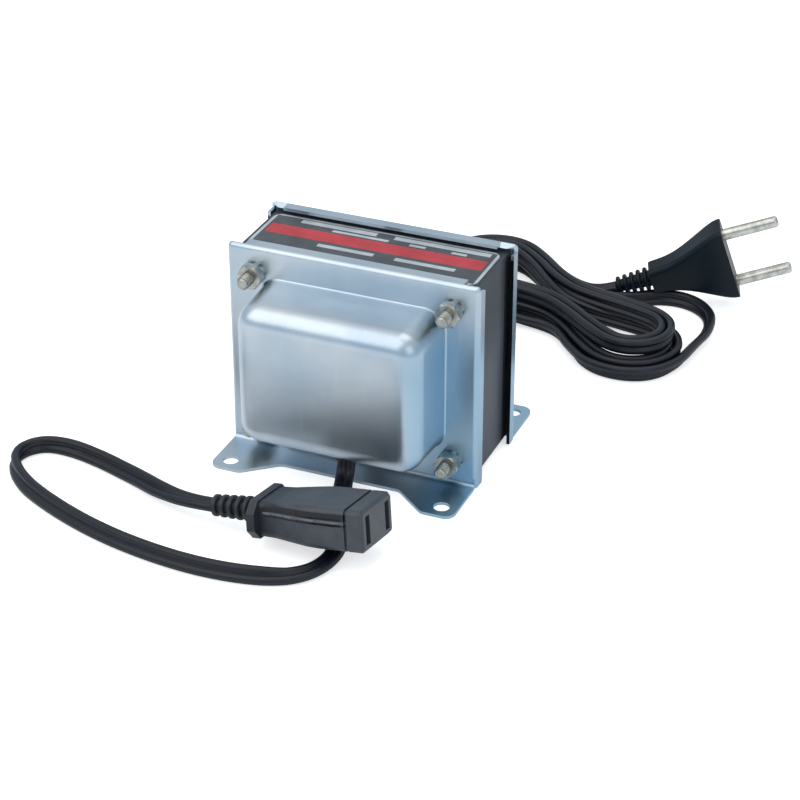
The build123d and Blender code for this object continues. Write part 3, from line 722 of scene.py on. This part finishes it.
def ribbed_boot(name, node, stand, start, length, ribs, root, tip):
    """A boot that runs back from start along its moulding's axis. Its radii shrink from root to tip."""
    bpy.ops.object.select_all(action="DESELECT")
    bpy.ops.mesh.primitive_cone_add(
        vertices=32, radius1=tip - RIB_DEEP, radius2=root - RIB_DEEP, depth=length,
        location=(0, length / 2, 0), rotation=(math.radians(90), 0, 0),
    )
    boot = bpy.context.object
    bpy.ops.object.transform_apply(location=True, rotation=True, scale=True)
    pitch = length / ribs
    discs = []
    for rib in range(ribs):
        radius = root + (tip - root) * rib / (ribs - 1)
        front = (rib + 1 - RIB_SHARE) * pitch
        discs.append(rod("rib", radius, front, front + RIB_SHARE * pitch, chamfer=RIB_CHAMFER))
    joined(boot, *discs)
    bpy.ops.object.shade_smooth_by_angle(angle=BOOT_SMOOTH)
    along_x = Matrix.Rotation(math.radians(90), 4, "Z")
    boot.data.transform(stand @ Matrix.Translation((-start, 0, 0)) @ along_x)
    boot.name = name
    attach(boot, "root")
    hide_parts(node)
    print(name, "has", ribs, "ribs,", round(pitch / MM, 2), "mm apart")
    return boot


# %% [markdown]
# The connector and the plug each end in such a boot. The boots could be placed by eye, but each has to meet
# its moulding exactly, so it takes the place and the turn that the model gives the moulding. Each is of
# its moulding's own PVC.

# %% Both boots
PLUG_PLACE = (76.3, 129.0, 18.2)
PLUG_TURN = (17.5, 18.5, 96.3)
connector_boot = ribbed_boot(
    "connector_strain_relief", "connector_boot", posture(CONNECTOR_PLACE, *CONNECTOR_TURN),
    start=36.6 * MM, length=16.0 * MM, ribs=6, root=3.9 * MM, tip=3.3 * MM,
)
plug_boot = ribbed_boot(
    "plug_strain_relief", "plug_boot", posture(PLUG_PLACE, *PLUG_TURN),
    start=27.5 * MM, length=12.0 * MM, ribs=5, root=4.1 * MM, tip=3.3 * MM,
)
dress(connector_boot, connector_pvc)
dress(plug_boot, plug_pvc)

# %% [markdown]
# A flat twin flex is two round cores side by side, joined by a thin web that leaves a groove along both
# faces. It bends easily over its flat faces and hardly at all the other way, so it lies flat in wide
# sweeps, and stands on edge in tight loops. A curve's own bevel can't choose that, so a mesh tube is built
# along the route, with a chosen roll at each ring. First comes its section, two arcs that meet in the
# groove.

# %% Flex section
FLEX_WIDTH = 5.7 * MM
FLEX_THICK = 2.8 * MM
FLEX_GROOVE = 0.12 * MM
CORE_STEPS = 9


def flex_profile():
    """Points round the section: first the right core's outside, then the left core's."""
    radius = FLEX_THICK / 2
    centre = FLEX_WIDTH / 2 - radius
    opening = math.acos(min(1.0, (centre - FLEX_GROOVE) / radius))
    sweep = 2 * (math.pi - opening)
    points = []
    for side in (0.0, math.pi):
        for step in range(CORE_STEPS + 1):
            angle = side - sweep / 2 + sweep * step / CORE_STEPS
            points.append((math.cos(side) * centre + radius * math.cos(angle), radius * math.sin(angle)))
    return points


print("flex section has", len(flex_profile()), "points")

# %% [markdown]
# A route is a short list of points, and straight lines between them would show as kinks. A NURBS spline
# flows past them smoothly, and Blender can turn it into a mesh, whose points are the smooth line. They
# crowd where the route's points do, so the line is then divided again into even steps, one for each ring.

# %% Flex line
FLEX_STEP = 1.1 * MM


def route_line(name, points):
    """The smooth line of a route: a NURBS spline with the route's points as its control points."""
    curve = bpy.data.curves.new(name + "_route", "CURVE")
    curve.dimensions = "3D"
    spline = curve.splines.new("NURBS")
    spline.points.add(len(points) - 1)
    for control, point in zip(spline.points, points):
        control.co = (*(Vector(point) * MM), 1.0)
    spline.order_u = 3
    spline.use_endpoint_u = True
    spline.resolution_u = 10
    carrier = bpy.data.objects.new(name + "_route", curve)
    bare = bpy.data.meshes.new_from_object(carrier)
    line = [vertex.co.copy() for vertex in bare.vertices]
    bpy.data.meshes.remove(bare)
    bpy.data.objects.remove(carrier)
    bpy.data.curves.remove(curve)
    return line


def even_line(line, step):
    """The same line with its points a steady step apart."""
    along = [0.0]
    for before, after in zip(line, line[1:]):
        along.append(along[-1] + (after - before).length)
    count = max(2, round(along[-1] / step))
    points = []
    index = 0
    for number in range(count + 1):
        wanted = along[-1] * number / count
        while index < len(line) - 2 and along[index + 1] < wanted:
            index += 1
        span = along[index + 1] - along[index]
        points.append(line[index].lerp(line[index + 1], (wanted - along[index]) / max(span, 1e-12)))
    return points


# %% [markdown]
# The roll is what makes the flex look real. A twin flex that is bent sideways turns onto its edge, so each
# stretch has a roll of its own, and a bend adds to it. How tight a bend is comes from the line itself: its
# turn, in radians a metre, over a few rings to each side. An average over more rings keeps the roll steady.

# %% Roll
BEND_REACH = 5
BEND_AVERAGE = 7
BEND_SOFT, BEND_TIGHT = 20.0, 70.0


def eased(value):
    value = min(1.0, max(0.0, value))
    return value * value * (3.0 - 2.0 * value)


def keyed(keys, share):
    """The eased value at share, between keys of (share, value)."""
    for (start, before), (end, after) in zip(keys, keys[1:]):
        if share <= end:
            return before + (after - before) * eased((share - start) / (end - start))
    return keys[-1][1]


def bends(line):
    """How tightly the line turns on the table at each ring, from 0 to 1. A steep stretch counts as 0."""
    last = len(line) - 1
    raw = []
    for index, here in enumerate(line):
        back, ahead = line[max(index - BEND_REACH, 0)], line[min(index + BEND_REACH, last)]
        before, after = (here - back).xy, (ahead - here).xy
        if before.length < MM or after.length < MM:
            raw.append(0.0)
            continue
        turn = before.angle(after) / ((before.length + after.length) / 2)
        raw.append(eased((turn - BEND_SOFT) / (BEND_TIGHT - BEND_SOFT)))
    softened = []
    for index in range(len(raw)):
        window = raw[max(index - BEND_AVERAGE, 0):index + BEND_AVERAGE + 1]
        softened.append(sum(window) / len(window))
    return softened


# %% [markdown]
# Each ring takes its sideways direction from the ring before, pulled gently towards level, and is then
# rolled. Where the line runs straight down there is no level direction, so nothing pulls. A ring that
# stands on edge needs more room below it, so it is lifted until it clears the table.

# %% Flex tube
STEEP = 0.2
LEVEL_PULL = 0.25
TABLE_GAP = 0.05 * MM


def carried_side(before, ahead):
    """The sideways direction of a ring, square to ahead, from that of the ring before."""
    side = (before - ahead * before.dot(ahead)).normalized()
    flat = ahead.cross(Vector((0, 0, 1)))
    if flat.length > STEEP:
        level = flat.normalized()
        if level.dot(side) < 0:
            level = -level
        side = side.lerp(level, LEVEL_PULL * min(1.0, flat.length)).normalized()
    return (side - ahead * side.dot(ahead)).normalized()


def flex_rings(line, rest_roll, bend_roll):
    """The points of each ring. The rolls, in degrees, are keyed by the share of the line's length."""
    profile = flex_profile()
    last = len(line) - 1
    side = Vector((1, 0, 0))
    rings = []
    for index, (here, bend) in enumerate(zip(line, bends(line))):
        ahead = (line[min(index + 1, last)] - line[max(index - 1, 0)]).normalized()
        side = carried_side(side, ahead)
        share = index / last
        roll = math.radians(keyed(rest_roll, share) + bend * keyed(bend_roll, share))
        across = Matrix.Rotation(roll, 3, ahead) @ side
        up = across.cross(ahead)
        tall = (FLEX_WIDTH - FLEX_THICK) / 2 * abs(across.z) + FLEX_THICK / 2
        middle = Vector((here.x, here.y, max(here.z, tall + TABLE_GAP)))
        rings.append([middle + across * x + up * y for x, y in profile])
    return rings


def closed_tube(name, rings):
    """A tube through the rings, closed at both ends, with smooth sides and flat ends."""
    mesh = bmesh.new()
    loops = [[mesh.verts.new(point) for point in ring] for ring in rings]
    sides = len(loops[0])
    for first, second in zip(loops, loops[1:]):
        for side in range(sides):
            after = (side + 1) % sides
            mesh.faces.new((first[side], second[side], second[after], first[after]))
    mesh.faces.new(loops[0])
    mesh.faces.new(reversed(loops[-1]))
    bmesh.ops.recalc_face_normals(mesh, faces=mesh.faces)
    for face in mesh.faces:
        face.smooth = len(face.verts) == 4
    data = bpy.data.meshes.new(name)
    mesh.to_mesh(data)
    mesh.free()
    piece = bpy.data.objects.new(name, data)
    bpy.context.collection.objects.link(piece)
    return piece


def flex(name, points, rest_roll, bend_roll):
    """A twin flex along a route, with the line that it follows and its length."""
    line = even_line(route_line(name, points), FLEX_STEP)
    piece = closed_tube(name, flex_rings(line, rest_roll, bend_roll))
    dress(piece, cord_pvc)
    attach(piece, "root")
    length = sum((b - a).length for a, b in zip(line, line[1:]))
    print(name, "is", round(length / MM), "mm long")
    return piece, line, length


# %% [markdown]
# The output lead leaves the front bell's grommet, drops to the table, passes flat under its own connector,
# makes one wide loop on the left and comes back to the connector's boot. It leans on its edge along the
# loop, turns right over at the tip, and lies flat again at the boot. A loose loop follows no formula, so
# its points are listed one by one. They are those of the model's own tube, in millimetres, so that both lie
# in the same place.

# %% Output lead
ON_TABLE = 1.95
OUTPUT_ROUTE = [
    (3.0, -27.64, 10.18), (3.0, -27.94, 6.58), (3.4, -31.04, 2.65), (6.2, -40.0, ON_TABLE),
    (10.0, -48.5, ON_TABLE), (14.2, -58.0, ON_TABLE), (17.0, -69.5, ON_TABLE),
    (13.0, -80.5, ON_TABLE), (1.0, -87.0, ON_TABLE), (-16.0, -88.9, ON_TABLE),
    (-35.0, -87.2, ON_TABLE), (-54.0, -82.8, ON_TABLE), (-72.5, -75.6, ON_TABLE),
    (-87.5, -67.3, ON_TABLE), (-96.2, -56.5, ON_TABLE), (-92.0, -46.6, ON_TABLE),
    (-80.5, -45.2, ON_TABLE), (-67.0, -48.4, 2.3), (-54.5, -53.2, 2.9),
    (-44.0, -58.6, 4.0), (-32.4, -62.5, 5.3), (-23.0, -63.1, 6.5),
]
OUTPUT_ROLL = (
    (0.0, 0.0), (0.2, 0.0), (0.31, -48.0), (0.6, -50.0), (0.72, -90.0), (0.8, -130.0), (0.86, -134.0),
    (0.98, -180.0),
)
NO_ROLL = ((0.0, 0.0), (1.0, 0.0))
output_flex, output_line, output_length = flex("output_flex", OUTPUT_ROUTE, OUTPUT_ROLL, NO_ROLL)
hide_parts("output_cord")

# %% [markdown]
# The hank is one flex wound round two fingers: a long figure with a wide lobe at either end and a narrow
# waist. A simulation could wind it, but not into the shape that the real one has, so its turns are worked
# out from a few widths. The winding goes inwards on the table, climbs at the middle and comes out again on
# top. A turn is four quarters: round the left lobe, along one side, round the right lobe and back along
# the other side. The flex stands on edge, so a turn needs only its thickness, and the upper layer sits a
# little further in, like a terrace. The lobes' points lie outside their circles, because the spline cuts
# inside them.

# %% Hank
HANK_MIDDLE = Vector((32.6, 95.5))
HANK_HEADING = math.radians(-25.4)
LEFT_LOBE, RIGHT_LOBE = -39.0, 26.0
HANK_TURNS = 4.25
INWARD_TURNS = 1.875
CLIMB_START, CLIMB_TURNS = 1.75, 0.25
POINTS_A_TURN = 24
LOWER_LAYER, LAYER_RISE = 2.85, 5.7
TURN_GROWTH = 3.1
LEFT_INSIDE, RIGHT_INSIDE, WAIST_INSIDE = (12.0, 10.5), (12.2, 7.6), (2.3, 2.0)
LOBE_OUTSIDE = 1 / math.cos(math.radians(15))


def lobe(centre, radius, degrees):
    """A control point of a lobe, so many degrees round its centre."""
    angle = math.radians(degrees)
    reach = radius * LOBE_OUTSIDE
    return centre + reach * math.cos(angle), reach * math.sin(angle)


def side_width(run, first, last, waist):
    """How far from the middle line a side lies: it narrows to the waist and widens again."""
    wide = first if run < 0.5 else last
    return wide + (waist - wide) * eased(2.0 * min(run, 1.0 - run))


def hank_point(turn):
    """One control point of the hank, in millimetres, after so many turns."""
    out = TURN_GROWTH * (CLIMB_START - min(turn, INWARD_TURNS) + max(0.0, turn - INWARD_TURNS))
    climb = eased((turn - CLIMB_START) / CLIMB_TURNS)
    left, right, waist = (
        lower + (upper - lower) * climb + out
        for lower, upper in (LEFT_INSIDE, RIGHT_INSIDE, WAIST_INSIDE)
    )
    part = turn % 1.0
    if part <= 0.25:
        x, y = lobe(LEFT_LOBE, left, 90.0 + 720.0 * part)
    elif part < 0.5:
        run = (part - 0.25) * 4.0
        x = LEFT_LOBE + (RIGHT_LOBE - LEFT_LOBE) * run
        y = -side_width(run, left, right, waist)
    elif part <= 0.75:
        x, y = lobe(RIGHT_LOBE, right, 720.0 * (part - 0.5) - 90.0)
    else:
        run = (part - 0.75) * 4.0
        x = RIGHT_LOBE + (LEFT_LOBE - RIGHT_LOBE) * run
        y = side_width(run, right, left, waist)
    place = HANK_MIDDLE + Matrix.Rotation(HANK_HEADING, 2) @ Vector((x, y))
    return (place.x, place.y, LOWER_LAYER + LAYER_RISE * climb)


hank = [hank_point(step / POINTS_A_TURN) for step in range(round(HANK_TURNS * POINTS_A_TURN) + 1)]
print("hank from", [round(v, 1) for v in hank[0]], "to", [round(v, 1) for v in hank[-1]])

# %% [markdown]
# The input lead starts at the rear bell and climbs onto the hank, where the winding ended. It comes out of
# the hank where the winding began, lies in one more loose loop round the hank, and runs up into the boot
# of the plug. Within the hank it stands on edge. Further on it leans by 40 to 55 degrees, and more in each
# bend. The points outside the hank are listed one by one too.

# %% Input lead
RUN_ON, RUN_OFF = 12.0, 10.0
hank_way = Vector((math.cos(HANK_HEADING), math.sin(HANK_HEADING), 0.0))
TO_HANK = [
    (-3.0, 27.64, 10.18), (-3.0, 27.94, 6.58), (-2.6, 31.04, 2.65), (-2.6, 40.5, ON_TABLE),
    (0.8, 49.5, ON_TABLE), (6.0, 60.5, 2.35), (10.5, 73.0, 4.55), (9.5, 84.5, 6.9),
]
LOOSE_LOOP = [
    (27.5, 112.4), (38.4, 111.8), (47.0, 115.4), (55.0, 121.6), (66.0, 121.6), (74.8, 114.2),
    (77.4, 102.5), (75.2, 90.5), (74.4, 78.4), (69.0, 67.8), (58.5, 63.4), (46.2, 66.0), (37.6, 76.2),
    (29.2, 85.4), (17.2, 87.6), (3.4, 90.6), (-12.8, 95.2), (-22.8, 107.0), (-22.6, 122.5),
    (-12.5, 133.8), (2.0, 133.6), (14.0, 127.2), (24.5, 119.3),
]
INTO_BOOT = [(34.2, 115.7, 3.45), (40.6, 117.7, 5.67)]
INPUT_ROUTE = [
    *TO_HANK,
    tuple(Vector(hank[-1]) + RUN_ON * hank_way),
    *reversed(hank),
    tuple(Vector(hank[0]) + RUN_OFF * hank_way),
    *((x, y, ON_TABLE) for x, y in LOOSE_LOOP),
    *INTO_BOOT,
]
INPUT_ROLL = (
    (0.0, 0.0), (0.04, 0.0), (0.08, 82.0), (0.72, 82.0), (0.78, 55.0), (0.95, 40.0), (1.0, 0.0),
)
INPUT_BEND_ROLL = ((0.0, 0.0), (0.72, 0.0), (0.78, 25.0), (0.97, 30.0), (1.0, 0.0))
input_flex, input_line, input_length = flex("input_flex", INPUT_ROUTE, INPUT_ROLL, INPUT_BEND_ROLL)
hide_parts("input_cord", "input_cord_hank", "input_cord_plug_end")

# %% [markdown]
# The floor is a large sheet of white paper. A white background alone would be simpler, but the object would
# float over it. The photograph's ground is pure white, so the paper glows towards the camera, and a little
# in reflections, and still keeps the object's shadow.

# %% Paper floor
FLOOR_SIZE = 6.0
PAPER_GLOW = (0.60, 0.60, 0.60)
MIRRORED_GLOW = (0.055, 0.068, 0.080)
bpy.ops.mesh.primitive_plane_add(size=FLOOR_SIZE, location=(0, 0, 0))
floor = bpy.context.object
floor.name = "floor"
paper = Finish("paper", (0.90, 0.90, 0.90), 0.9)
seen = paper.add("ShaderNodeLightPath", {}, {}, "Is Camera Ray")
mirrored = paper.add("ShaderNodeLightPath", {}, {}, "Is Glossy Ray")
reflection = paper.mix(mirrored, (0.0, 0.0, 0.0), MIRRORED_GLOW)
paper.put("Emission Color", paper.mix(seen, reflection, PAPER_GLOW))
paper.put("Emission Strength", 1.0)
dress(floor, paper)

# %% [markdown]
# A product is photographed between large white panels, and plated steel shows them as bands. Small bright
# lamps would give it hard spots instead. So three soft square lamps stand round the object: a large key at
# the front left, which makes the bright band along the bell, a weak fill at the right, and one overhead.
# The world is pale blue near the horizon, which the steel reflects too.

# %% Lamps and sky
HORIZON, ZENITH = (0.66, 0.84, 1.0), (1.0, 1.0, 1.0)
SKY_STRENGTH = 0.72


def lamp(name, place, size, power):
    """A square soft lamp, its size in metres and its power in watts, that looks at the object."""
    bpy.ops.object.light_add(type="AREA", location=place)
    light = bpy.context.object
    light.name = name
    light.data.shape = "SQUARE"
    light.data.size = size
    light.data.energy = power
    light.rotation_mode = "QUATERNION"
    light.rotation_quaternion = (Vector(place) - CAMERA_AIM).to_track_quat("Z", "Y")
    print(name, "lamp,", power, "W")


lamp("key", place=(-0.75, -1.0, 1.7), size=2.2, power=14.5)
lamp("fill", place=(1.5, -0.9, 1.0), size=1.2, power=3.0)
lamp("top", place=(0.1, 0.5, 1.8), size=1.4, power=6.0)

world = bpy.data.worlds.new("studio")
bpy.context.scene.world = world
world.use_nodes = True
sky = Graph(world.node_tree, "Generated")
height = sky.axes()[2]
background = sky.tree.nodes["Background"].inputs
sky.link(background["Color"], sky.mix(height.smooth(0.1, 0.9), HORIZON, ZENITH))
sky.link(background["Strength"], SKY_STRENGTH)
bpy.context.scene.view_settings.view_transform = "Standard"
